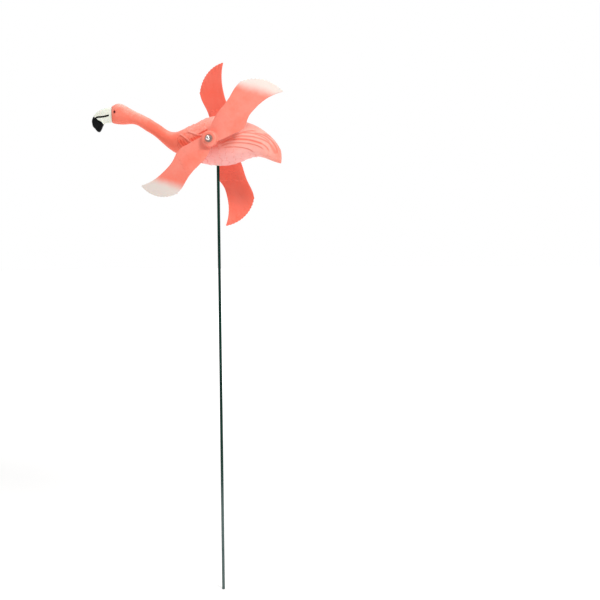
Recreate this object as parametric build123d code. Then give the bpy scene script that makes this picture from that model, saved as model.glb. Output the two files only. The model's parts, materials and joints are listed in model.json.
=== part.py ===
from build123d import *
import math
import os

# A flamingo whirligig on a ground stake.  The hollow bird is moulded in two halves and swivels on the
# stake's top end; a cross axle through it carries one two-bladed wing on each side, and both spin freely.
#
# Frame: millimetres, +Z up along the stake, origin at the centre of the stake's flat bottom end.
# The bird looks towards -X.  "left" is the bird's own left, the -Y side; "right" is the +Y side.

# ---------------------------------------------------------------- stake
STAKE_LENGTH = 762.0
ROD_RADIUS = 2.38            # bare steel
COAT = 0.10                  # enamel on the rod below the bird
PIVOT_LENGTH = 31.5          # bare top end that turns in the swivel bush
TOP_ROUNDING = 1.6
COAT_FEATHER = 1.2           # length over which the enamel thins out to bare steel
RUNNING_GAP = 0.07           # radial clearance of every turning fit
PRESS_GAP = 0.02             # clearance of bonded and pressed-in pieces
FACE_GAP = 0.05              # axial clearance between neighbours on the axle

# ---------------------------------------------------------------- swivel bush, pressed into the bird
BUSH_WALL = 2.1
BUSH_END = 2.5               # thickness of the closed top
BUSH_COLLAR = 1.3            # how far the collar stands out
BUSH_COLLAR_HEIGHT = 2.0
BUSH_COLLAR_ABOVE = 14.0     # collar's underside above the bush's mouth
BUSH_MOUTH_ABOVE = 2.4       # bush's mouth above the end of the stake's enamel
SOCKET_WALL = 1.7            # moulded wall round the bush

# ---------------------------------------------------------------- axle and what is threaded on it
AXLE_RADIUS = 2.38
AXLE_BACK = 0.7              # axle centre behind the stake's line
AXLE_ABOVE_STAKE = 10.4      # axle centre above the stake's top end
AXLE_CHAMFER = 0.4
AXLE_BOSS_WALL = 4.6         # moulded wall round the axle inside the bird
PAD_RADIUS = 9.0
PAD_STANDS_OUT = 2.1         # pad's face beyond the bird's widest point
SPACER_LENGTH = 9.0
SPACER_WALL = 2.6
WASHER_THICKNESS = 0.8
WASHER_WALL = 4.0
RING_CHAMFER = 0.12
HUB_FLOAT = 0.20             # end play of a wing between its washers
CAP_HEIGHT = 7.8
CAP_WALL = 1.0               # thickness of the dome over the axle's end
CAP_SIDE_WALL = 1.5
CAP_BRIM = 0.9               # how far the brim stands out
CAP_BRIM_THICKNESS = 1.4
CAP_ROUNDING = 3.0
BRIM_ROUNDING = 0.4

# ---------------------------------------------------------------- wing rotor
TIP_RADIUS = 140.0           # axle centre to a blade's point
BLADE_THICKNESS = 2.0
HUB_LENGTH = 18.0
HUB_BOSS_WALL = 6.1
HUB_DISC_RADIUS = 12.6
HUB_DISC_THICKNESS = 9.5
HUB_DISC_ROUNDING = 1.0
HUB_RIM_INSET = 2.0          # raised ring on the disc: edge inset, width and height
HUB_RIM_WIDTH = 2.4
HUB_RIM_HEIGHT = 1.0
BLADE_FROM_HUB_FACE = 9.0    # blade's middle plane below the hub's outer face
PITCH_ROOT = 0.40            # outward slope towards the rounded edge, near the root
PITCH_TIP = 0.28
TIP_LEAN = 11.5               # how far a blade's point leans in towards the bird
BLADE_CAMBER = 2.2           # rise of the blade's middle above its chord
SCALLOPS = 13
SCALLOP_RISE = 1.1
LEFT_REST_ANGLE = 31.6       # blade line above the horizontal, seen from the bird's left
RIGHT_REST_ANGLE = 90.2

# ---------------------------------------------------------------- bird
WALL = 2.0
SEAM_GAP = 0.10              # glue line between the halves
CAVITY_FRONT = -176.0        # the head's front, the bill and the tail's tip are solid
CAVITY_BACK = 95.0
PIN_RADIUS = 1.5
PIN_BOSS_WALL = 2.0
PIN_LENGTH = 4.0
PIN_GAP = 0.10
PIN_PLACES = [(-120.0, 30.0), (-46.0, -3.0), (36.0, 22.0), (66.0, 0.0)]

# Bird outlines, measured from the axle: distance back, top and bottom heights, half-width
BODY_STATIONS = [
    (-184.0, 64.4, 36.0, 9.8),
    (-179.0, 66.8, 34.2, 11.6),
    (-169.0, 68.0, 33.0, 12.8),
    (-156.0, 61.8, 33.2, 12.2),
    (-144.0, 55.0, 32.4, 10.9),
    (-131.0, 48.6, 25.6, 10.0),
    (-117.0, 41.4, 16.8, 9.9),
    (-104.0, 33.0, 7.2, 10.8),
    (-90.0, 23.2, -5.4, 13.6),
    (-76.0, 18.2, -15.6, 18.6),
    (-60.0, 21.6, -23.8, 24.8),
    (-42.0, 29.0, -30.6, 31.0),
    (-20.0, 38.6, -36.4, 36.4),
    (2.0, 42.6, -39.2, 38.9),
    (24.0, 40.4, -37.2, 38.0),
    (44.0, 34.0, -30.6, 33.6),
    (62.0, 27.4, -25.4, 27.4),
    (78.0, 18.0, -27.4, 20.4),
    (92.0, 6.0, -33.0, 13.4),
    (102.0, -6.4, -36.4, 8.4),
    (108.0, -17.6, -38.0, 4.6),
]
BILL_STATIONS = [
    (-183.0, 63.2, 37.4, 8.6),
    (-192.0, 62.0, 35.8, 7.6),
    (-198.5, 60.6, 34.6, 7.0),
    (-202.4, 59.4, 27.4, 6.6),
    (-206.8, 57.4, 20.6, 6.0),
    (-212.0, 54.0, 22.6, 5.0),
    (-217.0, 48.8, 28.4, 3.6),
    (-220.6, 43.0, 36.6, 1.8),
]

# One blade seen square on: distance out from the axle, distance towards the rounded edge
HOLLOW_EDGE = [(6.0, -9.6), (22.0, -12.0), (38.0, -13.6), (53.0, -14.6), (61.0, -11.6), (71.0, -4.8),
               (88.0, 1.2), (106.0, 4.2), (124.0, 3.8)]
ROUND_EDGE = [(77.0, 42.8), (64.0, 36.2), (50.0, 31.0), (34.0, 26.8), (18.0, 20.4), (5.0, 10.4)]
TIP_EDGE_START = (90.0, 46.8)
TIP_EDGE_MIDDLE = (125.8, 29.0)

# Worked out from the sizes above
AXLE_Z = STAKE_LENGTH + AXLE_ABOVE_STAKE
PIVOT_Z = STAKE_LENGTH - PIVOT_LENGTH
BUSH_BORE = ROD_RADIUS + RUNNING_GAP
BUSH_RADIUS = BUSH_BORE + BUSH_WALL
BUSH_MOUTH_Z = PIVOT_Z + BUSH_MOUTH_ABOVE
BUSH_COLLAR_Z = BUSH_MOUTH_Z + BUSH_COLLAR_ABOVE
BUSH_TOP_Z = STAKE_LENGTH + FACE_GAP + BUSH_END
PAD_FACE = max(half_width for x, top, bottom, half_width in BODY_STATIONS) + PAD_STANDS_OUT
SPACER_START = PAD_FACE + FACE_GAP
INNER_WASHER_START = SPACER_START + SPACER_LENGTH + FACE_GAP
HUB_START = INNER_WASHER_START + WASHER_THICKNESS + HUB_FLOAT / 2
OUTER_WASHER_START = HUB_START + HUB_LENGTH + HUB_FLOAT / 2
CAP_START = OUTER_WASHER_START + WASHER_THICKNESS + FACE_GAP
AXLE_END = CAP_START + CAP_HEIGHT - CAP_WALL - FACE_GAP
BLADE_PLANE = HUB_START + HUB_LENGTH - BLADE_FROM_HUB_FACE


def upright(radius, bottom, top):
    """An upright cylinder on the stake's line, between two heights."""
    return Pos(0, 0, bottom) * Cylinder(radius, top - bottom, align=(Align.CENTER, Align.CENTER, Align.MIN))


def crosswise(radius, start, end, back=0.0, height=0.0):
    """A cylinder along Y between two distances from the centre plane, placed from the axle."""
    foot = Plane(origin=(AXLE_BACK + back, min(start, end), AXLE_Z + height), z_dir=(0, 1, 0))
    return foot * Cylinder(radius, abs(end - start), align=(Align.CENTER, Align.CENTER, Align.MIN))


# ---------------------------------------------------------------- stake and bush
def make_stake():
    """The rod: enamelled up to the bird and bare above, with a rounded top end."""
    coated = upright(ROD_RADIUS + COAT, 0, PIVOT_Z - COAT_FEATHER)
    feather = Cone(ROD_RADIUS + COAT, ROD_RADIUS, COAT_FEATHER, align=(Align.CENTER, Align.CENTER, Align.MIN))
    bare = upright(ROD_RADIUS, 0, STAKE_LENGTH)
    bare = fillet(bare.edges().group_by(Axis.Z)[-1], TOP_ROUNDING)
    return coated + Pos(0, 0, PIVOT_Z - COAT_FEATHER) * feather + bare


def make_swivel_bush():
    """A closed thimble with a collar: the stake's bare end turns in it and carries the bird's weight."""
    thimble = upright(BUSH_RADIUS, BUSH_MOUTH_Z, BUSH_TOP_Z)
    collar = upright(BUSH_RADIUS + BUSH_COLLAR, BUSH_COLLAR_Z, BUSH_COLLAR_Z + BUSH_COLLAR_HEIGHT)
    return thimble + collar - upright(BUSH_BORE, 0, STAKE_LENGTH + FACE_GAP)


def room_for_bush():
    """What the two halves leave open for the bush, its collar and the stake below it."""
    thimble = upright(BUSH_RADIUS + PRESS_GAP, 0, BUSH_TOP_Z + PRESS_GAP)
    collar_top = BUSH_COLLAR_Z + BUSH_COLLAR_HEIGHT + PRESS_GAP
    return thimble + upright(BUSH_RADIUS + BUSH_COLLAR + PRESS_GAP, BUSH_COLLAR_Z - PRESS_GAP, collar_top)


# ---------------------------------------------------------------- bird
def oval_loft(stations):
    """A closed solid through upright ovals, one for each station."""
    ovals = []
    for back, top, bottom, half_width in stations:
        middle = (AXLE_BACK + back, 0, AXLE_Z + (top + bottom) / 2)
        ovals.append(Plane(origin=middle, x_dir=(0, 1, 0), z_dir=(1, 0, 0)) * Ellipse(half_width, (top - bottom) / 2))
    return loft(ovals)


def inner_stations():
    """The body's stations brought in by the wall, measured square to the sloping skin."""
    inside = []
    for before, here, after in zip(BODY_STATIONS, BODY_STATIONS[1:], BODY_STATIONS[2:]):
        run = after[0] - before[0]
        top_wall, bottom_wall, side_wall = (WALL * math.hypot(1, (after[i] - before[i]) / run) for i in (1, 2, 3))
        if CAVITY_FRONT <= here[0] <= CAVITY_BACK:
            inside.append((here[0], here[1] - top_wall, here[2] + bottom_wall, here[3] - side_wall))
    return inside


def inside_bosses():
    """The solid posts left standing in the cavity: round the axle, the bush and the locating pins."""
    posts = crosswise(AXLE_RADIUS + AXLE_BOSS_WALL, -PAD_FACE, PAD_FACE)
    posts += upright(BUSH_RADIUS + BUSH_COLLAR + SOCKET_WALL, 0, AXLE_Z)
    for back, height in PIN_PLACES:
        posts += crosswise(PIN_RADIUS + PIN_BOSS_WALL, -PAD_FACE, PAD_FACE, back, height)
    return posts


def make_shells():
    """The hollow bird with its bill, split down the middle; pins on the left half locate the right one."""
    outside = oval_loft(BODY_STATIONS) + oval_loft(BILL_STATIONS)
    outside += crosswise(PAD_RADIUS, -PAD_FACE, PAD_FACE)
    bird = outside - (oval_loft(inner_stations()) - inside_bosses())
    bird -= crosswise(AXLE_RADIUS + PRESS_GAP, -2 * PAD_FACE, 2 * PAD_FACE)
    bird -= room_for_bush()
    left = split(bird, bisect_by=Plane.XZ.offset(SEAM_GAP / 2), keep=Keep.TOP)
    right = split(bird, bisect_by=Plane.XZ.offset(-SEAM_GAP / 2), keep=Keep.BOTTOM)
    for back, height in PIN_PLACES:
        left += crosswise(PIN_RADIUS, -PIN_LENGTH, PIN_LENGTH, back, height)
        right -= crosswise(PIN_RADIUS + PIN_GAP, -PIN_LENGTH, PIN_LENGTH + PIN_GAP, back, height)
    return left, right


# ---------------------------------------------------------------- axle stack
def make_axle():
    rod = crosswise(AXLE_RADIUS, -AXLE_END, AXLE_END)
    return chamfer(rod.edges().filter_by(GeomType.CIRCLE), AXLE_CHAMFER)


def make_ring(side, start, length, wall):
    """A spacer or a washer that sits loosely on the axle."""
    bore = AXLE_RADIUS + RUNNING_GAP
    ring = crosswise(bore + wall, side * start, side * (start + length))
    ring = chamfer(ring.edges().filter_by(GeomType.CIRCLE), RING_CHAMFER)
    return ring - crosswise(bore, -2 * start, 2 * start)


def make_push_cap(side):
    """A domed cap pressed on the axle's end: a thin round brim and a dome closed over the end."""
    bore = AXLE_RADIUS + PRESS_GAP
    dome = crosswise(bore + CAP_SIDE_WALL, side * CAP_START, side * (CAP_START + CAP_HEIGHT))
    far_rim = dome.edges().filter_by(GeomType.CIRCLE).sort_by(lambda edge: side * edge.center().Y)[-1]
    dome = fillet(far_rim, CAP_ROUNDING)
    brim_radius = bore + CAP_SIDE_WALL + CAP_BRIM
    brim = crosswise(brim_radius, side * CAP_START, side * (CAP_START + CAP_BRIM_THICKNESS))
    brim = fillet(brim.edges().filter_by(GeomType.CIRCLE), BRIM_ROUNDING)
    return dome + brim - crosswise(bore, 0, side * (AXLE_END + FACE_GAP))


# ---------------------------------------------------------------- wing rotor
def blade_outline():
    """One blade's flat outline: a hollow edge, a scalloped tip edge and a rounded edge."""
    tip = (TIP_RADIUS, 0.0)
    hollow = Spline(*HOLLOW_EDGE, tip)
    tip_edge = ThreePointArc(tip, TIP_EDGE_MIDDLE, TIP_EDGE_START)
    marks = [tip_edge @ (i / SCALLOPS) for i in range(SCALLOPS + 1)]
    scallops = [SagittaArc(start, end, -SCALLOP_RISE) for start, end in zip(marks, marks[1:])]
    rounded = Spline(marks[-1], *ROUND_EDGE)
    return make_face(Curve() + [hollow, *scallops, rounded, Line(ROUND_EDGE[-1], HOLLOW_EDGE[0])])


def eased(share):
    """0 up to 0, 1 from 1 on, and a smooth rise between."""
    share = min(1.0, max(0.0, share))
    return share * share * (3 - 2 * share)


def blade_strip(out):
    """The blade sheet's section at a distance out from the axle, wider than the blade at both edges."""
    low = min(across for along, across in HOLLOW_EDGE) - 6
    high = TIP_EDGE_START[1] + 6
    middle = (low + high) / 2
    flare = eased((out - 6) / 40)
    pitch = flare * (PITCH_ROOT + (PITCH_TIP - PITCH_ROOT) * max(0.0, out / TIP_RADIUS))
    base = -TIP_LEAN * (out / TIP_RADIUS) ** 2
    arcs = []
    for side in (-BLADE_THICKNESS / 2, BLADE_THICKNESS / 2):
        start = (low, base + side + pitch * low)
        crest = (middle, base + side + pitch * middle + BLADE_CAMBER * flare + 0.01)
        end = (high, base + side + pitch * high)
        arcs.append(ThreePointArc(start, crest, end))
    under, over = arcs
    section = Curve() + [under, over, Line(under @ 0, over @ 0), Line(under @ 1, over @ 1)]
    return Plane(origin=(out, 0, 0), x_dir=(0, 1, 0), z_dir=(1, 0, 0)) * make_face(section)


def make_rotor():
    """A two-bladed wing lying in XY, axle along Z, outer face up; its blades spring from z = 0."""
    steps = 6
    sheet = loft([blade_strip(4 + TIP_RADIUS * i / steps) for i in range(steps + 1)])
    blade = extrude(blade_outline(), 2 * TIP_LEAN + HUB_LENGTH, both=True) & sheet
    top = BLADE_FROM_HUB_FACE
    hanging = (Align.CENTER, Align.CENTER, Align.MAX)
    disc_top = top - HUB_RIM_HEIGHT
    disc = Pos(0, 0, disc_top) * Cylinder(HUB_DISC_RADIUS, HUB_DISC_THICKNESS, align=hanging)
    disc = fillet(disc.edges().group_by(Axis.Z)[-1], HUB_DISC_ROUNDING)
    rim_radius = HUB_DISC_RADIUS - HUB_RIM_INSET
    rim = Pos(0, 0, top) * Cylinder(rim_radius, HUB_DISC_THICKNESS, align=hanging)
    rim -= Pos(0, 0, top) * Cylinder(rim_radius - HUB_RIM_WIDTH, HUB_DISC_THICKNESS, align=hanging)
    bore = AXLE_RADIUS + RUNNING_GAP
    boss = Pos(0, 0, top) * Cylinder(bore + HUB_BOSS_WALL, HUB_LENGTH, align=hanging)
    rotor = disc + rim + boss + blade + Rot(0, 0, 180) * blade
    return rotor - Cylinder(bore, 4 * HUB_LENGTH)


def make_wings():
    """The left wing and its mirror image on the right, each on its end of the axle at its rest angle."""
    standing = Rot(90, 0, 0) * make_rotor()
    left = Pos(AXLE_BACK, -BLADE_PLANE, AXLE_Z) * Rot(0, -LEFT_REST_ANGLE, 0) * standing
    mirrored = mirror(standing, about=Plane.XZ)
    right = Pos(AXLE_BACK, BLADE_PLANE, AXLE_Z) * Rot(0, -RIGHT_REST_ANGLE, 0) * mirrored
    return left, right


def main():
    os.makedirs("parts", exist_ok=True)
    shells = make_shells()
    wings = make_wings()
    pieces = {"stake": make_stake(), "swivel_bush": make_swivel_bush(), "axle": make_axle()}
    for name, side, shell, wing in zip(("left", "right"), (-1, 1), shells, wings):
        pieces[f"body_shell_{name}"] = shell
        pieces[f"spacer_{name}"] = make_ring(side, SPACER_START, SPACER_LENGTH, SPACER_WALL)
        pieces[f"inner_washer_{name}"] = make_ring(side, INNER_WASHER_START, WASHER_THICKNESS, WASHER_WALL)
        pieces[f"wing_rotor_{name}"] = wing
        pieces[f"outer_washer_{name}"] = make_ring(side, OUTER_WASHER_START, WASHER_THICKNESS, WASHER_WALL)
        pieces[f"push_cap_{name}"] = make_push_cap(side)
    for name, piece in pieces.items():
        export_step(piece, f"parts/{name}.step")
        print(name, len(piece.solids()), round(piece.volume, 1))


main()
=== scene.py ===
import json
import math

import bmesh
import bpy
import numpy as np
from mathutils import Matrix, Vector
from mathutils.bvhtree import BVHTree

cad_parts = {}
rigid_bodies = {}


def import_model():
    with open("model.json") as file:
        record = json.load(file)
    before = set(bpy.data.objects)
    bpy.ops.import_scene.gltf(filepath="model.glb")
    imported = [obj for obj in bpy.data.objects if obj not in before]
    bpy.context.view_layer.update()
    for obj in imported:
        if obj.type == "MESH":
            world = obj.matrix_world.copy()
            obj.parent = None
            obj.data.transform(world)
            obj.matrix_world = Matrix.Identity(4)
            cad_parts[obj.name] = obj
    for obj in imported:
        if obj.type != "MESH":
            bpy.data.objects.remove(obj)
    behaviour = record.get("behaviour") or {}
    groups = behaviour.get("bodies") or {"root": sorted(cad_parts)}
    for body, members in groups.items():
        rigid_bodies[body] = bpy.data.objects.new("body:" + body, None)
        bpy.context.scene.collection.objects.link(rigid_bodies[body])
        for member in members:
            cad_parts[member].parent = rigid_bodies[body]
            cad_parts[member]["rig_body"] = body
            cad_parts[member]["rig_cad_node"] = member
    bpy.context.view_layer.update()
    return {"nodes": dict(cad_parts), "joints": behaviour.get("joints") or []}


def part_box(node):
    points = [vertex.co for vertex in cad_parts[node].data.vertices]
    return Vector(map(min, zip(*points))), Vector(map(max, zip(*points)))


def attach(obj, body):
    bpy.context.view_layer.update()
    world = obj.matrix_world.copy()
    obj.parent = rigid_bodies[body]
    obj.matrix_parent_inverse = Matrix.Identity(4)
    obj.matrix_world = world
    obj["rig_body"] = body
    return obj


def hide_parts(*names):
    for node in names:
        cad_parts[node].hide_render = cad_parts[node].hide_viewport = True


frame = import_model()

# The flamingo whirligig: feathered bird skins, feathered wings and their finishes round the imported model.
# Metres throughout; MM turns a length in millimetres into metres.
MM = 0.001
JOINTS = {joint["name"]: joint for joint in frame["joints"]}
AXLE = Vector((JOINTS["left_wing_spin"]["pos_m"][0], 0, JOINTS["left_wing_spin"]["pos_m"][2]))
SIDES = {"left": -1, "right": 1}

# Bird skin
RING_STEP = 0.76 * MM           # spacing of the skin's rings along the bird
ROUND_POINTS = 125              # points round one half of each ring
END_ROUNDING = 1.6 * MM
SEAM_GAP = 0.05 * MM            # half of the glue line
SEAM_CHAMFER = 0.30 * MM
HEAD_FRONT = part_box("body_shell_left")[0].x + 36.6 * MM
PAD_RADIUS = 9.0 * MM
PAD_DEPTH = 12 * MM
ROUND_AXLE = 30 * MM            # stretch each way from the axle that is smoothed most
EYE_AT = (-176.9, 53.2)         # eye's centre back from and above the axle, millimetres
EYE_RADIUS = 2.8

# Wing skin
WING_SPACING = 0.62 * MM

# Colours, linear
CORAL = (0.90, 0.235, 0.165, 1)
CORAL_DEEP = (0.68, 0.070, 0.030, 1)
CORAL_RED = (0.92, 0.150, 0.085, 1)
CORAL_PALE = (0.93, 0.42, 0.35, 1)
SHADE_RED = (0.88, 0.108, 0.058, 1)
BELLY_PINK = (0.94, 0.47, 0.45, 1)
WING_CORAL = (0.93, 0.185, 0.120, 1)
WING_DEEP = (0.95, 0.105, 0.050, 1)
TIP_WHITE = (0.78, 0.71, 0.655, 1)
BILL_WHITE = (0.79, 0.81, 0.72, 1)
BILL_CREAM = (0.74, 0.74, 0.63, 1)
BILL_BLACK = (0.004, 0.004, 0.005, 1)
EYE_RED = (0.16, 0.006, 0.004, 1)
ENAMEL_DARK = (0.0015, 0.022, 0.014, 1)
ENAMEL_GREEN = (0.003, 0.042, 0.028, 1)
ENAMEL_GREYED = (0.060, 0.105, 0.100, 1)
ENAMEL_SCUFFED = (0.15, 0.19, 0.185, 1)

# Studio
SKY_DIM = 0.43                  # sky to the sides, overhead and in front; behind the bird it is white
FLOOR_GLOW = 0.25


# ---------------------------------------------------------------- shader maths
class Value:
    """A number that runs through a material's nodes, so that maths on it reads as Python."""

    def __init__(self, paint, socket):
        self.paint = paint
        self.socket = socket

    def __add__(self, other):
        return self.paint.math("ADD", self, other)

    __radd__ = __add__

    def __sub__(self, other):
        return self.paint.math("SUBTRACT", self, other)

    def __rsub__(self, other):
        return self.paint.math("SUBTRACT", other, self)

    def __mul__(self, other):
        return self.paint.math("MULTIPLY", self, other)

    __rmul__ = __mul__

    def __truediv__(self, other):
        return self.paint.math("DIVIDE", self, other)


class Paint:
    """One finish: a node tree with a single surface shader, built up by named steps."""

    def __init__(self, name):
        self.material = bpy.data.materials.new(name)
        self.material.use_nodes = True
        self.tree = self.material.node_tree
        self.tree.nodes.clear()
        self.output = self.tree.nodes.new("ShaderNodeOutputMaterial")
        self.shader = self.tree.nodes.new("ShaderNodeBsdfPrincipled")
        self.tree.links.new(self.shader.outputs["BSDF"], self.output.inputs["Surface"])
        self.place = self.node("ShaderNodeTexCoord").outputs["Object"]

    def node(self, kind, settings=None, **inputs):
        """Adds a node: settings first, then its sockets, each given a value or a link."""
        made = self.tree.nodes.new(kind)
        for key, value in (settings or {}).items():
            setattr(made, key, value)
        for key, value in inputs.items():
            socket = made.inputs[int(key[1:])] if key[0] == "n" and key[1:].isdigit() else made.inputs[key]
            self.feed(socket, value)
        return made

    def feed(self, socket, value):
        if isinstance(value, Value):
            value = value.socket
        if isinstance(value, bpy.types.NodeSocket):
            self.tree.links.new(value, socket)
        else:
            socket.default_value = value

    def math(self, operation, first, second=0.0, clamp=False):
        made = self.node("ShaderNodeMath", {"operation": operation, "use_clamp": clamp},
                         n0=first, n1=second)
        return Value(self, made.outputs[0])

    def ramp(self, value, low, high):
        """0 below low, 1 above high and a smooth rise between; low may be the larger."""
        made = self.node("ShaderNodeMapRange", {"interpolation_type": "SMOOTHSTEP"},
                         n0=value, n1=low, n2=high, n3=0.0, n4=1.0)
        return Value(self, made.outputs[0])

    def noise(self, scale, detail=4.0, roughness=0.55, stretch=(1, 1, 1)):
        moved = self.node("ShaderNodeMapping", None, Vector=self.place, Scale=stretch).outputs[0]
        made = self.node("ShaderNodeTexNoise", None, Vector=moved, Scale=scale, Detail=detail,
                         Roughness=roughness)
        return Value(self, made.outputs["Fac"])

    def attribute(self, name):
        return Value(self, self.node("ShaderNodeAttribute", {"attribute_name": name}).outputs["Fac"])

    def axes(self):
        split = self.node("ShaderNodeSeparateXYZ", None, Vector=self.place)
        return [Value(self, split.outputs[i]) for i in range(3)]

    def mix(self, share, first, second):
        made = self.node("ShaderNodeMix", {"data_type": "RGBA", "blend_type": "MIX"},
                         n0=share, n6=first, n7=second)
        return made.outputs[2]

    def grey(self, value):
        made = self.node("ShaderNodeCombineColor", None, n0=value, n1=value, n2=value)
        return made.outputs[0]

    def bump(self, height, strength, distance, below=None):
        made = self.node("ShaderNodeBump", None, Height=height, Strength=strength, Distance=distance)
        if below is not None:
            self.feed(made.inputs["Normal"], below)
        return made.outputs[0]

    def finish(self, **sockets):
        for key, value in sockets.items():
            self.feed(self.shader.inputs[key.replace("_", " ")], value)
        return self.material


# ---------------------------------------------------------------- curves and distances
def smooth(values, low, high):
    """0 below low, 1 above high, with a smooth rise between."""
    share = np.clip((values - low) / (high - low), 0, 1)
    return share * share * (3 - 2 * share)


def line_distance(points, corners):
    """Distance of each flat point from a line through the corners."""
    nearest = np.full(len(points), 1e9)
    for start, end in zip(corners, corners[1:]):
        start, end = np.array(start, float), np.array(end, float)
        share = np.clip((points - start) @ (end - start) / ((end - start) @ (end - start)), 0, 1)
        nearest = np.minimum(nearest, np.hypot(*(points - start - share[:, None] * (end - start)).T))
    return nearest


def smooth_line(corners, steps=6):
    """A rounded line through the corners (Catmull-Rom)."""
    padded = [np.array(c, float) for c in (corners[0], *corners, corners[-1])]
    line = []
    for a, b, c, d in zip(padded, padded[1:], padded[2:], padded[3:]):
        for i in range(steps):
            t = i / steps
            line.append(0.5 * (2 * b + (c - a) * t + (2 * a - 5 * b + 4 * c - d) * t * t
                               + (3 * b - a - 3 * c + d) * t ** 3))
    return line + [padded[-1]]


# ---------------------------------------------------------------- feathers
class Feather:
    """One moulded feather on a flat layout: root, tip, half-width, bow, and how far its tip lifts."""

    def __init__(self, root, tip, half_width, lift, bow=0.0, base=0.15):
        self.root = np.array(root, float)
        self.along = np.array(tip, float) - self.root
        self.length = float(np.hypot(*self.along))
        self.along /= self.length
        self.across = np.array((-self.along[1], self.along[0]))
        self.half_width = half_width
        self.lift = lift
        self.bow = bow
        self.base = base

    def over(self, points):
        """Height, distance in from the outline, share of the length and signed distance off the shaft."""
        moved = points - self.root
        share = moved @ self.along / self.length
        off = moved @ self.across - 4 * self.bow * share * (1 - share)
        inside = np.clip(share, 0, 1)
        spread = np.minimum(1, (inside / 0.42 + 0.02) ** 0.62)
        spread = spread * np.sqrt(1 - np.clip((inside - 0.72) / 0.28, 0, 1) ** 2.2)
        width = np.maximum(self.half_width * spread, 1e-4)
        ratio = np.abs(off) / width
        crown = 1 - np.clip(ratio, 0, 1) ** 3.2
        shaft = np.exp(-(off / 0.55) ** 2) * np.clip(share * 6, 0, 1)
        height = self.base + self.lift * inside ** 1.4 * (0.35 + 0.65 * crown) + 0.16 * self.lift * shaft
        inset = np.minimum((1 - ratio) * width, np.minimum(share, 1 - share) * self.length)
        blank = (ratio >= 1) | (share <= 0) | (share >= 1)
        height = np.where(blank, 0, height * np.clip(inset / 0.5, 0, 1) ** 0.5)
        return height, np.where(blank, -1, inset), share, off


def lay_feathers(points, feathers):
    """The top feather's height at each point, with its groove shade and barb line, all in millimetres."""
    height = np.zeros(len(points))
    inset = np.full(len(points), 9.0)
    barb = np.zeros(len(points))
    for feather in feathers:
        rise, edge, share, off = feather.over(points)
        on_top = (edge > 0) & (rise >= height)
        height = np.where(on_top, rise, height)
        inset = np.where(on_top, edge, inset)
        barb = np.where(on_top, share * feather.length - 0.9 * np.abs(off), barb)
    groove = np.clip(1 - inset / 1.7, 0, 1)
    return height, groove, barb


def lay_lips(points, lips):
    """Long overlapping feather edges, raised above each line and cut just below it: rise, groove (mask of
    painted shade) and the mask of painted highlight along each raised edge.
    """
    rise = np.zeros(len(points))
    groove = np.zeros(len(points))
    ridge = np.zeros(len(points))
    for corners, lift, fade in lips:
        line = np.array(smooth_line(corners))
        steps = np.hypot(*np.diff(line, axis=0).T)
        travelled = np.concatenate([[0], np.cumsum(steps)]) / steps.sum()
        nearest = np.full(len(points), 1e9)
        above = np.zeros(len(points))
        share = np.zeros(len(points))
        for i in range(len(steps)):
            way = (line[i + 1] - line[i]) / steps[i]
            moved = points - line[i]
            along = np.clip(moved @ way, 0, steps[i])
            gap = np.hypot(*(moved - along[:, None] * way).T)
            side = way[0] * moved[:, 1] - way[1] * moved[:, 0]
            closer = gap < nearest
            nearest = np.where(closer, gap, nearest)
            above = np.where(closer, side, above)
            here = travelled[i] + along / steps[i] * (travelled[i + 1] - travelled[i])
            share = np.where(closer, here, share)
        signed = np.where(above >= 0, nearest, -nearest)
        ends = smooth(share, 0.0, 0.10) * (1 - smooth(share, 0.9, 1.0))
        off_end = (share <= 0) | (share >= 1)
        ends = np.where(off_end, 0, ends)
        raised = lift * np.exp(-np.maximum(signed, 0) / fade) * smooth(signed, -0.5, 0.5)
        cut = np.exp(-((signed + 0.9) / 1.05) ** 2)
        rise = np.maximum(rise, raised * ends)
        rise = rise - 0.55 * lift * cut * ends
        groove = np.maximum(groove, cut * ends)
        ridge = np.maximum(ridge, np.exp(-((signed - 1.5) / 1.2) ** 2) * ends)
    return rise, groove, ridge


REAR_LIPS = [
    ([(5, -9), (20, 1), (41, 10), (58, 15.5), (72, 15)], 1.3, 4.5),
    ([(8, -9.5), (20, -1.5), (36, 5.5), (57, 6.5), (77, 2.5), (90, -4.5), (95, -13)], 1.4, 4.0),
    ([(30, 1), (45, 2), (60, 0.5), (76, -4), (86, -11), (91, -20)], 1.1, 3.0),
    ([(10, -10.5), (22, -5.5), (37, -3.8), (57, -5), (73, -9), (83, -16)], 1.4, 3.5),
    ([(15, -12), (27, -10.5), (42, -11), (56, -13.5), (66, -19)], 1.1, 3.0),
    ([(46, 12.5), (64, 11.5), (82, 4.5), (92, -4)], 0.7, 1.8),
    ([(63, 13), (82, 8.5), (95, -2), (101, -12), (104, -24)], 1.2, 3.0),
    ([(78, 13), (92, 6), (101, -4), (106, -15), (108.5, -27)], 1.0, 2.5),
]
CHEST_LIPS = [
    ([(-62, 11.5), (-54, 7.4), (-44, 0.5), (-33, -7.5)], 1.25, 2.6),
    ([(-47, 15.5), (-38, 12), (-27, 8), (-16, 6.5)], 1.25, 2.6),
    ([(-27, 9.8), (-19, 13.6), (-10, 18.2)], 1.0, 2.6),
]
# Painted shade: patches of deeper coral below the feather edges: line, half-width
SHADE_PATCHES = [
    ([(-38, 1.0), (-21, 6.0)], 3.4),
    ([(-26, 9.5), (-11, 16.5)], 2.0),
    ([(-57, -1.5), (-40, -8.5)], 4.4),
]
REAR_SHADE_PATCHES = [
    ([(18, -3.5), (34, 1.5), (57, 1.5), (76, -4.5)], 3.0),
    ([(93, -9), (99, -20)], 2.4),
    ([(103, -12), (106.5, -28)], 1.8),
]


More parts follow.
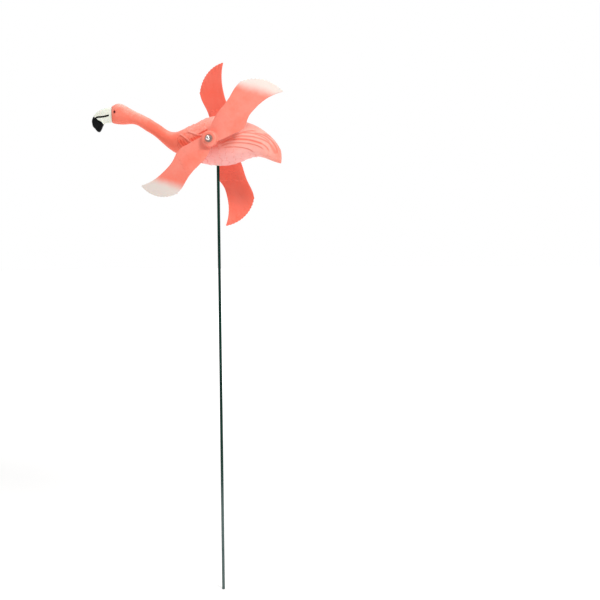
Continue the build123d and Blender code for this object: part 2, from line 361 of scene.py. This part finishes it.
def scale_feathers(x_range, q_range, step, length, half_width, lift, tilt, seed):
    """Rows of small staggered body feathers that point back, each a little unlike its neighbours."""
    random = np.random.default_rng(seed)
    feathers = []
    rows = int((q_range[1] - q_range[0]) / step) + 1
    columns = int((x_range[1] - x_range[0]) / step) + 1
    for column in reversed(range(columns)):
        for row in range(rows):
            x = x_range[0] + column * step + random.uniform(-1, 1) * step * 0.12
            q = q_range[0] + (row + 0.5 * (column % 2)) * step + random.uniform(-1, 1) * step * 0.12
            angle = math.radians(tilt + random.uniform(-7, 7))
            size = length * random.uniform(0.9, 1.12)
            tip = (x + size * math.cos(angle), q + size * math.sin(angle))
            feathers.append(Feather((x, q), tip, half_width * random.uniform(0.92, 1.08), lift))
    return feathers


def bird_feathers():
    """The bird's feathers in the order they overlap; places are back from and above the axle, in mm."""
    belly = scale_feathers((-66, 72), (-64, 60), 11.5, 19.0, 7.6, 1.25, -14, 3)
    shoulder = []
    for i in range(8):
        x = -64 + 4.8 * i
        shoulder.append(Feather((x, 2 + 1.2 * i), (x + 15, -17 + 1.6 * i), 2.9, 1.9, bow=1.0, base=0.9))
    coverts = []
    for i in range(4):
        x = -33 + 7.5 * i
        coverts.append(Feather((x, 5 + 3.0 * i), (x + 15, -5 + 3.0 * i), 3.6, 1.2, bow=1.2, base=1.0))
    return belly + shoulder + coverts


def blade_feathers():
    """One blade's feathers: long ones to the scalloped edge and a few short ones over the root."""
    long_ones = []
    for i in range(7):
        share = i / 6
        tip = (139 - 43 * share ** 1.15, 4 + 42 * share)
        long_ones.append(Feather((34 + 5 * share, -6 + 26 * share), tip, 6.6, 0.34, bow=2.2, base=0.10))
    root_ones = []
    for row in range(3):
        for i in range(5):
            start = 13 + 12 * (2 - row)
            share = i / 4
            root = (start + 2, -7 + 21 * share + row)
            tip = (start + 25 - 3 * row, -9 + 35 * share)
            root_ones.append(Feather(root, tip, 5.2, 0.75, bow=1.0, base=0.45 + 0.12 * row))
    return long_ones + root_ones


# ---------------------------------------------------------------- mesh helpers
def only(*objects):
    """Deselects everything, then selects these, the first one active."""
    bpy.ops.object.select_all(action="DESELECT")
    for one in objects:
        one.select_set(True)
    bpy.context.view_layer.objects.active = objects[0]


def apply_modifier(piece, kind, **settings):
    only(piece)
    modifier = piece.modifiers.new(kind.lower(), kind)
    for key, value in settings.items():
        setattr(modifier, key, value)
    bpy.ops.object.modifier_apply(modifier=modifier.name)


def smooth_by_angle(piece, degrees):
    only(piece)
    bpy.ops.object.shade_smooth_by_angle(angle=math.radians(degrees))


def new_piece(name, vertices, faces):
    mesh = bpy.data.meshes.new(name)
    mesh.from_pydata(vertices.tolist(), [], faces)
    piece = bpy.data.objects.new(name, mesh)
    bpy.context.scene.collection.objects.link(piece)
    return piece


def keep_values(piece, **values):
    """Stores numbers on a piece's vertices for its finish to read."""
    for name, numbers in values.items():
        layer = piece.data.attributes.new(name, "FLOAT", "POINT")
        layer.data.foreach_set("value", np.asarray(numbers, np.float32))


def read_points(piece):
    points = np.empty(len(piece.data.vertices) * 3)
    piece.data.vertices.foreach_get("co", points)
    return points.reshape(-1, 3)


def write_points(piece, points):
    piece.data.vertices.foreach_set("co", np.asarray(points, np.float32).ravel())
    piece.data.update()


# ---------------------------------------------------------------- bird
def measured_sections(places):
    """Top, bottom and half-width of the bird at each place along it, read off the left shell."""
    shell = frame["nodes"]["body_shell_left"].data
    tree = BVHTree.FromPolygons([v.co for v in shell.vertices], [p.vertices for p in shell.polygons])
    low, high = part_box("body_shell_left")
    beside = -0.3 * MM
    sizes = []
    for x in places:
        top = tree.ray_cast(Vector((x, beside, high.z + 0.01)), Vector((0, 0, -1)))[0].z
        bottom = tree.ray_cast(Vector((x, beside, low.z - 0.01)), Vector((0, 0, 1)))[0].z
        side = tree.ray_cast(Vector((x, low.y - 0.01, (top + bottom) / 2)), Vector((0, 1, 0)))[0].y
        sizes.append((top, bottom, -side))
    sizes = np.array(sizes)
    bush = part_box("swivel_bush")
    at_socket = np.abs(places - (bush[0].x + bush[1].x) / 2) < (bush[1].x - bush[0].x) / 2 + 4 * MM
    sizes[at_socket, 1] = np.interp(places[at_socket], places[~at_socket], sizes[~at_socket, 1])
    across_pad = np.abs(places - AXLE.x) < PAD_RADIUS + 1.5 * MM
    sizes[across_pad, 2] = np.interp(places[across_pad], places[~across_pad], sizes[~across_pad, 2])
    head = places > HEAD_FRONT
    round_axle = np.abs(places - AXLE.x) < ROUND_AXLE
    for part, passes in ((head, 3), (~head, 3), (round_axle, 25)):
        for _ in range(passes):
            run = sizes[part]
            run[1:-1] = (run[:-2] + 2 * run[1:-1] + run[2:]) / 4
            sizes[part] = run
    return sizes


def wash_over(points, washes):
    """How strongly each point lies in a patch of painted shade, 0 to 1."""
    strength = np.zeros(len(points))
    for corners, half_width in washes:
        strength = np.maximum(strength, np.exp(-(line_distance(points, corners) / half_width) ** 4))
    return strength


# Lines on the head, places back from and above the axle
MOUTH_LINE = smooth_line([(-213.0, 43.2), (-209.4, 45.6), (-200.7, 45.9), (-194.8, 46.6), (-189.6, 47.9)])
BLACK_EDGE = smooth_line([(-222.0, 47.5), (-216.6, 46.6), (-211.6, 44.4), (-207.6, 41.0), (-203.6, 38.9),
                          (-200.4, 36.4), (-198.6, 31.0)])
TIP_RIDGE = [(-207.5, 38.6), (-204.2, 35.6), (-204.0, 32.0)]


def bird_half(side_name):
    """One feathered half of the bird: rings along its length, laid over the moulded shell's own section."""
    side = SIDES[side_name]
    low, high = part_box("body_shell_left")
    start, end = low.x + 0.05 * MM, high.x - 0.05 * MM
    rounding = END_ROUNDING * (1 - np.cos(np.linspace(0, math.pi / 2, 9)[:-1]))
    middle = np.arange(start + END_ROUNDING, end - END_ROUNDING, RING_STEP)
    places = np.concatenate([start + rounding, middle, (end - rounding)[::-1]])
    top, bottom, half = measured_sections(places).T
    depth = np.minimum(places - start, end - places)
    shrink = np.sqrt(np.clip(1 - (1 - np.clip(depth / END_ROUNDING, 0, 1)) ** 2, 0, 1))
    centre, tall, half = (top + bottom) / 2, (top - bottom) / 2 * shrink, half * shrink
    angles = np.linspace(math.pi / 2, -math.pi / 2, ROUND_POINTS)
    rings = len(places)
    x = np.repeat(places[:, None], ROUND_POINTS, 1)
    y = half[:, None] * np.cos(angles)[None, :]
    z = centre[:, None] + tall[:, None] * np.sin(angles)[None, :]
    grid = np.stack([x, y, z], 2)

    lengthways = np.gradient(grid, axis=0)
    roundways = np.gradient(grid, axis=1)
    normals = np.cross(lengthways, roundways)
    normals /= np.maximum(np.linalg.norm(normals, axis=2, keepdims=True), 1e-12)
    outward = np.sign(np.sum(normals * np.stack([0 * x, np.cos(angles)[None, :] + 0 * x,
                                                 np.sin(angles)[None, :] + 0 * x], 2), axis=2, keepdims=True))
    normals *= np.where(outward == 0, 1, outward)

    steps = np.linalg.norm(np.diff(grid, axis=1), axis=2)
    travelled = np.concatenate([np.zeros((rings, 1)), np.cumsum(steps, 1)], 1)
    from_side = travelled[:, ROUND_POINTS // 2][:, None] - travelled
    up = (centre[:, None] - AXLE.z + from_side) / MM
    back = (x - AXLE.x) / MM
    flat = np.stack([back.ravel(), up.ravel()], 1)
    side_view = np.stack([back.ravel(), ((z - AXLE.z) / MM).ravel()], 1)
    to_seam = (np.minimum(travelled, travelled[:, -1:] - travelled) / MM).ravel()

    height, groove, barb = lay_feathers(flat, bird_feathers())
    rear, rear_groove, rear_ridge = lay_lips(side_view, REAR_LIPS)
    chest, chest_groove, chest_ridge = lay_lips(side_view, CHEST_LIPS)
    fan = smooth(side_view[:, 0], 4, 16) * smooth(side_view[:, 1] + 0.18 * side_view[:, 0], -12, -3)
    height = height * (1 - 0.8 * fan) + rear + chest
    groove = groove * (1 - 0.65 * smooth(side_view[:, 1], 4, 12))
    groove = np.maximum(np.maximum(groove * (1 - 0.8 * fan), rear_groove), 0.5 * chest_groove)
    ridge = np.maximum(rear_ridge, chest_ridge)
    wash = wash_over(side_view, SHADE_PATCHES) + 0.6 * wash_over(side_view, REAR_SHADE_PATCHES)
    on_body = smooth(flat[:, 0], -78, -58) * (1 - smooth(flat[:, 0], 101, 107))
    clear_of_seam = smooth(to_seam, 0.5, 7.0)
    from_axle = np.hypot(side_view[:, 0], side_view[:, 1])
    clear_of_pad = smooth(from_axle, 9.0, 13.0)
    cover = on_body * clear_of_seam * clear_of_pad
    lift = height * cover

    eye = np.hypot(side_view[:, 0] - EYE_AT[0], side_view[:, 1] - EYE_AT[1])
    lift += 0.75 * np.sqrt(np.clip(1 - (eye / EYE_RADIUS) ** 2, 0, 1))
    lift -= 0.35 * np.exp(-((eye - EYE_RADIUS - 0.7) / 0.55) ** 2)
    cheek = np.hypot((side_view[:, 0] + 164) / 14, (side_view[:, 1] - 45) / 9)
    lift += 0.35 * np.exp(-cheek ** 4)
    mouth = line_distance(side_view, MOUTH_LINE)
    lift -= 0.55 * np.exp(-(mouth / 0.8) ** 2) * smooth(to_seam, 0.3, 1.2)
    black = black_side(side_view)
    lift += 0.7 * np.exp(-(line_distance(side_view, TIP_RIDGE) / 1.0) ** 2)
    lift -= (SEAM_CHAMFER / MM) * (1 - smooth(to_seam, 0.0, 0.9))

    grid = grid + normals * (lift.reshape(rings, ROUND_POINTS) * MM)[:, :, None]
    sweep = np.exp(-((grid[:, :, 0] - HEAD_FRONT) / (7 * MM)) ** 2)
    head_mm = ((grid[:, :, 0] - HEAD_FRONT) / MM).ravel()
    grid[:, :, 0] += 0.2 * np.abs(grid[:, :, 1]) * sweep
    grid[:, :, 1] = np.maximum(grid[:, :, 1], 0) + SEAM_GAP
    grid[:, 0, 1] = SEAM_GAP
    grid[:, -1, 1] = SEAM_GAP
    grid[:, :, 1] *= side

    faces = []
    for i in range(rings - 1):
        a, b = i * ROUND_POINTS, (i + 1) * ROUND_POINTS
        faces += [(a + j, b + j, b + j + 1, a + j + 1) for j in range(ROUND_POINTS - 1)]
        faces.append((a + ROUND_POINTS - 1, b + ROUND_POINTS - 1, b, a))
    name = f"bird_skin_{side_name}"
    piece = new_piece(name, grid.reshape(-1, 3), faces)
    wash = wash * cover * (1 - 0.8 * ridge)
    keep_values(piece, groove=groove * cover, barb=barb, feathered=cover, mouth=mouth, black=black, eye=eye,
                facing_up=normals[:, :, 2].ravel(), ridge=ridge * cover, wash=wash, to_seam=to_seam,
                head_mm=head_mm)
    only(piece)
    bpy.ops.object.mode_set(mode="EDIT")
    bpy.ops.mesh.select_all(action="SELECT")
    bpy.ops.mesh.remove_doubles(threshold=0.002 * MM)
    bpy.ops.mesh.normals_make_consistent(inside=False)
    bpy.ops.object.mode_set(mode="OBJECT")
    smooth_by_angle(piece, 50)
    return piece


def black_side(points):
    """Signed distance to the edge of the bill's black tip, negative on the black side."""
    distance = line_distance(points, BLACK_EDGE)
    edge_x = np.array([p[0] for p in BLACK_EDGE])
    edge_z = np.array([p[1] for p in BLACK_EDGE])
    line = np.interp(points[:, 0], edge_x, edge_z)
    return np.where(points[:, 1] < line, -distance, distance)


def axle_pad(side_name):
    """The raised round pad on the skin that the axle comes out of, modelled from a cylinder."""
    side = SIDES[side_name]
    shell_low, shell_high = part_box(f"body_shell_{side_name}")
    face = shell_low.y if side < 0 else shell_high.y
    bpy.ops.object.select_all(action="DESELECT")
    bpy.ops.mesh.primitive_cylinder_add(vertices=96, radius=PAD_RADIUS, depth=PAD_DEPTH,
                                        rotation=(math.pi / 2, 0, 0),
                                        location=(AXLE.x, face - side * PAD_DEPTH / 2, AXLE.z))
    pad = bpy.context.active_object
    pad.name = f"axle_pad_{side_name}"
    bpy.ops.object.transform_apply(location=True, rotation=True, scale=True)
    bpy.ops.object.mode_set(mode="EDIT")
    mesh = bmesh.from_edit_mesh(pad.data)
    for one in mesh.faces:
        one.select_set(abs(one.calc_center_median().y - face) < 0.1 * MM)
    bmesh.update_edit_mesh(pad.data)
    bpy.ops.mesh.inset(thickness=2.0 * MM)
    bpy.ops.mesh.inset(thickness=0.5 * MM)
    bpy.ops.transform.translate(value=(0, -side * 0.5 * MM, 0))
    bpy.ops.mesh.select_all(action="DESELECT")
    bpy.ops.object.mode_set(mode="OBJECT")
    apply_modifier(pad, "BEVEL", width=0.35 * MM, segments=3, limit_method="ANGLE",
                   angle_limit=math.radians(40))
    smooth_by_angle(pad, 35)
    count = len(pad.data.vertices)
    keep_values(pad, to_seam=np.full(count, 9.0), eye=np.full(count, 99.0), mouth=np.full(count, 99.0),
                black=np.full(count, 99.0))
    return pad


# ---------------------------------------------------------------- wings
def wing_skin(side_name):
    """A feathered wing: the moulded rotor with a close even mesh, its feathers raised most on the inside."""
    side = SIDES[side_name]
    node = frame["nodes"][f"wing_rotor_{side_name}"]
    piece = node.copy()
    piece.data = node.data.copy()
    piece.name = f"wing_skin_{side_name}"
    piece.data.name = piece.name
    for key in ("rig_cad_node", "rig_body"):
        if key in piece:
            del piece[key]
    piece.parent = None
    bpy.context.scene.collection.objects.link(piece)
    piece.data.materials.clear()
    only(piece)
    bpy.ops.object.mode_set(mode="EDIT")
    bpy.ops.mesh.select_all(action="SELECT")
    bpy.ops.mesh.remove_doubles(threshold=0.002 * MM)
    bpy.ops.object.mode_set(mode="OBJECT")
    apply_modifier(piece, "REMESH", mode="VOXEL", voxel_size=WING_SPACING, adaptivity=0.0)
    apply_modifier(piece, "SMOOTH", factor=0.5, iterations=3)

    points = read_points(piece)
    out = (points - np.array(AXLE))[:, [0, 2]] / MM
    farthest = out[np.argmax(np.hypot(*out.T) * (out[:, 1] > 0))]
    tip_way = farthest / np.hypot(*farthest)
    across_way = np.array((-tip_way[1], tip_way[0]))
    along = out @ tip_way
    across = out @ across_way
    second = along < 0
    along = np.where(second, -along, along)
    across = np.where(second, -across, across)
    normals = np.empty(len(points) * 3)
    piece.data.vertex_normals.foreach_get("vector", normals)
    normals = normals.reshape(-1, 3)
    facing = normals[:, 1] * side
    height, groove, barb = lay_feathers(np.stack([along, across], 1), blade_feathers())
    from_hub = np.hypot(along, across)
    outer = smooth(facing, -0.2, 0.3)
    cover = smooth(from_hub, 13.2, 16.5) * smooth(np.abs(facing), 0.55, 0.9) * (1 - 0.75 * outer)
    write_points(piece, points + normals * (height * cover * MM)[:, None])
    keep_values(piece, groove=groove * cover * (1 - 0.7 * outer), barb=barb, feathered=cover,
                along_mm=along, across_mm=across, outer_face=outer, from_hub=from_hub,
                second_blade=second.astype(float))
    smooth_by_angle(piece, 60)
    return piece


# ---------------------------------------------------------------- finishes
def bird_finish():
    """Satin coral plastic with paler belly, painted shade in the deep grooves, below the feather edges and
    under the neck, painted highlights on the raised edges and upward faces, and the painted bill, mouth line
    and eye.
    """
    paint = Paint("bird_coral_paint")
    x, y, z = paint.axes()
    back = (x - AXLE.x) / MM
    up = (z - AXLE.z) / MM
    cloud = paint.noise(38, 3, 0.5)
    mottle = paint.noise(210, 4, 0.6)
    grain = paint.noise(2600, 2, 0.6)
    belly = paint.ramp(up + 14 * cloud, 6, -22) * paint.ramp(back, -46, -12) * paint.ramp(back, 92, 56)
    chest = paint.ramp(up + 0.62 * back + 10 * cloud, 4, -34)
    chest = chest * paint.ramp(back, -20, -52) * paint.ramp(back, -140, -104)
    # painted highlight: faces turned up are drawn paler, most of all on the neck
    top_light = paint.ramp(paint.attribute("facing_up") + 0.3 * (cloud - 0.5), 0.25, 0.95)
    # painted shade: the neck's downward faces are drawn a deeper red
    neck_underside_shade = paint.ramp(back, -66, -80) * paint.ramp(paint.attribute("facing_up"), 0.3, -0.4)
    colour = paint.mix(paint.ramp(mottle, 0.3, 0.75) * 0.45, CORAL, CORAL_PALE)
    colour = paint.mix(top_light * (0.4 + 0.4 * paint.ramp(back, -66, -90)), colour, CORAL_PALE)
    rear = paint.ramp(back, 12, 45) * (0.8 - 0.55 * paint.ramp(back, 88, 106))
    colour = paint.mix(rear, colour, CORAL_PALE)
    colour = paint.mix(neck_underside_shade * 0.55, colour, CORAL_RED)
    blotch = paint.ramp(paint.noise(105, 3, 0.6), 0.46, 0.68) * paint.ramp(back, -70, -110)
    colour = paint.mix(blotch * 0.35, colour, CORAL_RED)
    colour = paint.mix(belly * 0.8, colour, BELLY_PINK)
    colour = paint.mix(chest * 0.75, colour, CORAL_RED)
    groove = paint.attribute("groove")
    front_groove = paint.ramp(back, -6, -24)
    # painted shade: deeper red patches drawn below the feather edges
    colour = paint.mix(paint.attribute("wash") * (0.78 + 0.4 * (mottle - 0.5)), colour, SHADE_RED)
    # painted highlight: a paler band along the raised feather edges
    colour = paint.mix(paint.attribute("ridge") * 0.40, colour, CORAL_PALE)
    # painted shade: the grooves between the feathers are drawn deep coral, deeper at the front
    colour = paint.mix(groove * (0.56 + 0.44 * front_groove), colour, CORAL_DEEP)
    seam = paint.ramp(paint.attribute("to_seam"), 0.7, 0.0) * paint.ramp(back, -216, -200)
    colour = paint.mix(seam * 0.35, colour, CORAL_DEEP)

    behind_edge = paint.attribute("head_mm")
    on_head = paint.ramp(back, -100, -130)
    in_front = paint.ramp(behind_edge, 0.15, -0.15) * on_head
    bill = paint.mix(paint.ramp(cloud, 0.2, 0.8) * 0.3, BILL_WHITE, BILL_CREAM)
    head_edge = paint.ramp(paint.math("ABSOLUTE", behind_edge - 0.35), 1.1, 0.3) * on_head
    colour = paint.mix(in_front, colour, bill)
    colour = paint.mix(head_edge * 0.6, colour, CORAL_DEEP)
    wobble = (mottle - 0.5) * 0.5
    black_tip = paint.ramp(paint.attribute("black") + wobble, 0.15, -0.15) * in_front
    mouth_line = paint.ramp(paint.attribute("mouth") + wobble, 1.7, 1.3) * in_front
    black = paint.math("MAXIMUM", black_tip, mouth_line)
    colour = paint.mix(black, colour, BILL_BLACK)
    eye = paint.attribute("eye")
    eye_ring = paint.ramp(paint.math("ABSOLUTE", eye - 3.5), 0.9, 0.2) * on_head
    colour = paint.mix(eye_ring * 0.35, colour, CORAL_RED)
    eye_dot = paint.ramp(eye + wobble * 0.6, 2.85, 2.45) * on_head
    colour = paint.mix(eye_dot, colour, EYE_RED)
    colour = paint.mix(paint.ramp(eye, 1.3, 0.7) * on_head, colour, BILL_BLACK)

    barbs = paint.math("SINE", paint.attribute("barb") * 5.2 + mottle * 2.5)
    feathered = paint.attribute("feathered")
    fine = paint.bump(barbs * feathered, 0.16, 0.12 * MM)
    uneven = paint.bump(paint.noise(330, 2, 0.5) * black, 0.8, 0.9 * MM, below=fine)
    normal = paint.bump(grain + 0.4 * mottle, 0.10, 0.10 * MM, below=uneven)
    painted = paint.math("MAXIMUM", black, eye_dot)
    rough = 0.40 + 0.12 * mottle + 0.10 * groove - 0.24 * painted
    return paint.finish(Base_Color=colour, Roughness=rough, Normal=normal, Metallic=black,
                        Coat_Weight=painted * 0.16, Coat_Roughness=0.06, Specular_IOR_Level=0.22,
                        Subsurface_Weight=0.06,
                        Subsurface_Radius=(0.006, 0.002, 0.0012), Subsurface_Scale=1.0)


def wing_finish():
    """Satin coral plastic, airbrushed off-white over the tips of the outer faces."""
    paint = Paint("wing_coral_paint")
    cloud = paint.noise(32, 3, 0.5)
    mottle = paint.noise(240, 4, 0.6)
    grain = paint.noise(2600, 2, 0.6)
    streak = paint.attribute("across_mm") + paint.attribute("along_mm") * -0.2
    lines = paint.math("SINE", streak * 3.1 + cloud * 5)
    along = paint.attribute("along_mm")
    across = paint.attribute("across_mm")
    outer = paint.attribute("outer_face")
    colour = paint.mix(paint.ramp(cloud + 0.4 * mottle, 0.35, 0.95) * 0.35, WING_CORAL, CORAL_PALE)
    # deeper coral on the inner faces: partly the plastic's own deeper tone, partly painted shade where they
    # sit behind the bird and the near wing
    colour = paint.mix((1 - outer) * 0.5, colour, WING_DEEP)
    groove = paint.attribute("groove")
    near_root = paint.ramp(along, 62, 40)
    # painted shade: the grooves between the feathers are drawn deep coral, most near the root
    colour = paint.mix(groove * (0.10 + 0.32 * near_root), colour, CORAL_DEEP)
    hub = paint.ramp(paint.attribute("from_hub"), 14.0, 12.8)
    colour = paint.mix(hub * 0.25, colour, CORAL)
    spray = along + across * 0.87 + (cloud - 0.5) * 12 + paint.attribute("second_blade") * 10 + lines * 0.5
    white = paint.ramp(spray, 113, 139) * paint.ramp(outer, 0.25, 0.6)
    colour = paint.mix(white * 0.97, colour, TIP_WHITE)
    barbs = paint.math("SINE", paint.attribute("barb") * 4.6 + mottle * 2)
    fine = paint.bump(barbs * paint.attribute("feathered"), 0.10, 0.10 * MM)
    lined = paint.bump(lines * paint.attribute("feathered"), 0.10, 0.10 * MM, below=fine)
    normal = paint.bump(grain + 0.4 * mottle, 0.10, 0.10 * MM, below=lined)
    rough = 0.42 + 0.12 * mottle + 0.08 * white
    return paint.finish(Base_Color=colour, Roughness=rough, Normal=normal, Specular_IOR_Level=0.42,
                        Subsurface_Weight=0.06,
                        Subsurface_Radius=(0.006, 0.002, 0.0012), Subsurface_Scale=1.0)


def stake_finish():
    """Dark green enamel on the rod, scuffed to a greyish bloom towards the end that goes in the ground."""
    paint = Paint("stake_green_enamel")
    x, y, z = paint.axes()
    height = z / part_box("stake")[1].z
    blotch = paint.noise(60, 5, 0.65, (1, 1, 0.35))
    scratch = paint.noise(900, 4, 0.7, (1, 1, 0.06))
    low = paint.ramp(height + 0.12 * (blotch - 0.5), 0.34, 0.14)
    scuffed = paint.ramp(blotch + scratch * 0.5 + low * 0.34, 0.86, 1.10)
    colour = paint.mix(paint.ramp(blotch, 0.35, 0.7) * 0.6, ENAMEL_DARK, ENAMEL_GREEN)
    colour = paint.mix(low * 0.75, colour, ENAMEL_GREYED)
    colour = paint.mix(scuffed * (0.12 + 0.38 * low), colour, ENAMEL_SCUFFED)
    normal = paint.bump(scratch + blotch, 0.22, 0.08 * MM)
    return paint.finish(Base_Color=colour, Roughness=0.34 + 0.25 * scuffed, Normal=normal,
                        Specular_IOR_Level=0.12, Coat_Weight=0.04, Coat_Roughness=0.15)


def steel_finish(name, colour, roughness):
    """Plated or drawn steel with faint wear and tarnish."""
    paint = Paint(name)
    tarnish = paint.noise(420, 4, 0.6)
    rub = paint.noise(2400, 3, 0.7, (1, 0.15, 1))
    dull = tuple(channel * 0.72 for channel in colour[:3]) + (1,)
    shade = paint.mix(paint.ramp(tarnish, 0.45, 0.8) * 0.6, colour, dull)
    normal = paint.bump(rub, 0.12, 0.05 * MM)
    return paint.finish(Base_Color=shade, Metallic=1.0, Roughness=roughness + 0.15 * tarnish, Normal=normal)


def cap_finish():
    """Bright nickel dome, painted dark in the crease where it meets its brim as painted shade and a painted
    dark reflection, and duller there.
    """
    paint = Paint("cap_bright_nickel")
    x, y, z = paint.axes()
    off_x, off_z = (x - AXLE.x) / MM, (z - AXLE.z) / MM
    radius = paint.math("SQRT", off_x * off_x + off_z * off_z)
    tarnish = paint.noise(420, 4, 0.6)
    # painted shade and painted dark reflection: a dark ring in the crease between dome and brim, also rougher
    # and less metallic
    crease_shade = paint.ramp(paint.math("ABSOLUTE", radius - 4.2) + tarnish * 0.8, 1.15, 0.5)
    shade = paint.mix(paint.ramp(tarnish, 0.45, 0.8) * 0.6, (0.82, 0.78, 0.75, 1), (0.60, 0.56, 0.53, 1))
    shade = paint.mix(crease_shade * 0.92, shade, (0.045, 0.028, 0.025, 1))
    rub = paint.noise(2400, 3, 0.7)
    return paint.finish(Base_Color=shade, Metallic=1.0 - 0.5 * crease_shade,
                        Roughness=0.10 + 0.1 * tarnish + 0.4 * crease_shade,
                        Normal=paint.bump(rub, 0.10, 0.04 * MM))


def nylon_finish(name, colour):
    """Natural nylon with a slight yellowing and handling marks."""
    paint = Paint(name)
    age = paint.noise(180, 4, 0.6)
    grain = paint.noise(3000, 2, 0.6)
    yellowed = (colour[0] * 0.93, colour[1] * 0.86, colour[2] * 0.68, 1)
    shade = paint.mix(paint.ramp(age, 0.35, 0.75) * 0.5, colour, yellowed)
    normal = paint.bump(grain, 0.12, 0.05 * MM)
    return paint.finish(Base_Color=shade, Roughness=0.38 + 0.15 * age, Normal=normal,
                        Subsurface_Weight=0.1, Subsurface_Radius=(0.003, 0.003, 0.002), Subsurface_Scale=1.0)


def give(piece, finish):
    piece.data.materials.clear()
    piece.data.materials.append(finish)


# ---------------------------------------------------------------- stage
def make_stage():
    """A wide pale floor under a pale sky, with soft lights."""
    bpy.ops.object.select_all(action="DESELECT")
    bpy.ops.mesh.primitive_circle_add(vertices=96, radius=14, fill_type="NGON", location=(0, 0, -0.1 * MM))
    floor = bpy.context.active_object
    floor.name = "floor"
    paint = Paint("floor_paper")
    shade = paint.noise(3, 3, 0.5)
    colour = paint.mix(shade * 0.3, (0.93, 0.93, 0.925, 1), (0.90, 0.90, 0.895, 1))
    x, y, z = paint.axes()
    glow = FLOOR_GLOW * (1 + 3.6 * paint.ramp(y, 0.5, 3.0))
    give(floor, paint.finish(Base_Color=colour, Roughness=0.9, Specular_IOR_Level=0.1,
                             Emission_Color=paint.grey(glow), Emission_Strength=1.0))
    world = bpy.data.worlds.new("studio")
    bpy.context.scene.world = world
    world.use_nodes = True
    tree = world.node_tree
    place = tree.nodes.new("ShaderNodeTexCoord")
    split = tree.nodes.new("ShaderNodeSeparateXYZ")
    fade = tree.nodes.new("ShaderNodeMapRange")
    fade.interpolation_type = "SMOOTHSTEP"
    for socket, value in zip(list(fade.inputs)[1:5], (0.45, 0.85, SKY_DIM, 1.0)):
        socket.default_value = value
    tree.links.new(place.outputs["Generated"], split.inputs[0])
    tree.links.new(split.outputs[1], fade.inputs[0])
    tree.links.new(fade.outputs[0], tree.nodes["Background"].inputs["Strength"])
    tree.nodes["Background"].inputs["Color"].default_value = (1, 1, 1, 1)
    lights = [
        ("key_softbox", (1.05, -1.10, 1.95), 0.55, 26.0, (1.0, 0.985, 0.965)),
        ("top_softbox", (-0.25, 0.25, 2.1), 0.9, 10.0, (1.0, 1.0, 1.0)),
        ("fill_softbox", (-1.5, -1.3, 0.75), 1.0, 2.2, (0.97, 0.985, 1.0)),
    ]
    for name, place, size, power, colour in lights:
        data = bpy.data.lights.new(name, "AREA")
        data.size = size
        data.energy = power
        data.color = colour
        light = bpy.data.objects.new(name, data)
        light.location = place
        aim = Vector((0, 0, AXLE.z - 0.05)) - Vector(place)
        light.rotation_euler = aim.to_track_quat("-Z", "Y").to_euler()
        bpy.context.scene.collection.objects.link(light)
    view = bpy.context.scene.view_settings
    view.view_transform = "Standard"
    view.look = "None"


def make_camera():
    """A short telephoto at two thirds of the whole height, looking four degrees down."""
    turn, tilt, roll = math.radians(7.859), math.radians(4.220), math.radians(-0.394)
    level = Vector((-math.sin(turn), math.cos(turn), 0))
    aside = Vector((math.cos(turn), math.sin(turn), 0))
    forward = level * math.cos(tilt) - Vector((0, 0, math.sin(tilt)))
    upward = Vector((0, 0, math.cos(tilt))) + level * math.sin(tilt)
    right = aside * math.cos(roll) + upward * math.sin(roll)
    top = upward * math.cos(roll) - aside * math.sin(roll)
    data = bpy.data.cameras.new("camera")
    data.sensor_width = 36
    data.lens = 57.14
    data.clip_start, data.clip_end = 0.05, 60
    camera = bpy.data.objects.new("camera", data)
    camera.matrix_world = Matrix((right, top, -forward)).transposed().to_4x4()
    camera.location = (0.35718, -1.58696, 0.62416)
    bpy.context.scene.collection.objects.link(camera)
    bpy.context.scene.camera = camera


# ---------------------------------------------------------------- assembly
def main():
    make_camera()
    make_stage()
    bird = bird_finish()
    wing = wing_finish()
    for side_name in SIDES:
        skin = bird_half(side_name)
        give(skin, bird)
        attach(skin, "bird")
        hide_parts(f"body_shell_{side_name}")
        pad = axle_pad(side_name)
        give(pad, bird)
        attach(pad, "bird")
        rotor = wing_skin(side_name)
        give(rotor, wing)
        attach(rotor, f"{side_name}_wing")
        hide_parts(f"wing_rotor_{side_name}")
    nodes = frame["nodes"]
    steel = steel_finish("axle_drawn_steel", (0.56, 0.56, 0.57, 1), 0.30)
    zinc = steel_finish("washer_dull_zinc", (0.16, 0.14, 0.13, 1), 0.45)
    # the outer washers' coral tint is a painted reflection of the coral body and wings round them
    zinc_painted_reflection = steel_finish("outer_washer_coppery_zinc", (0.50, 0.27, 0.22, 1), 0.45)
    nickel = cap_finish()
    nylon = nylon_finish("spacer_nylon", (0.80, 0.78, 0.71, 1))
    give(nodes["stake"], stake_finish())
    give(nodes["axle"], steel)
    give(nodes["swivel_bush"], nylon)
    for side_name in SIDES:
        give(nodes[f"spacer_{side_name}"], nylon)
        give(nodes[f"inner_washer_{side_name}"], zinc)
        give(nodes[f"outer_washer_{side_name}"], zinc_painted_reflection)
        give(nodes[f"push_cap_{side_name}"], nickel)


main()
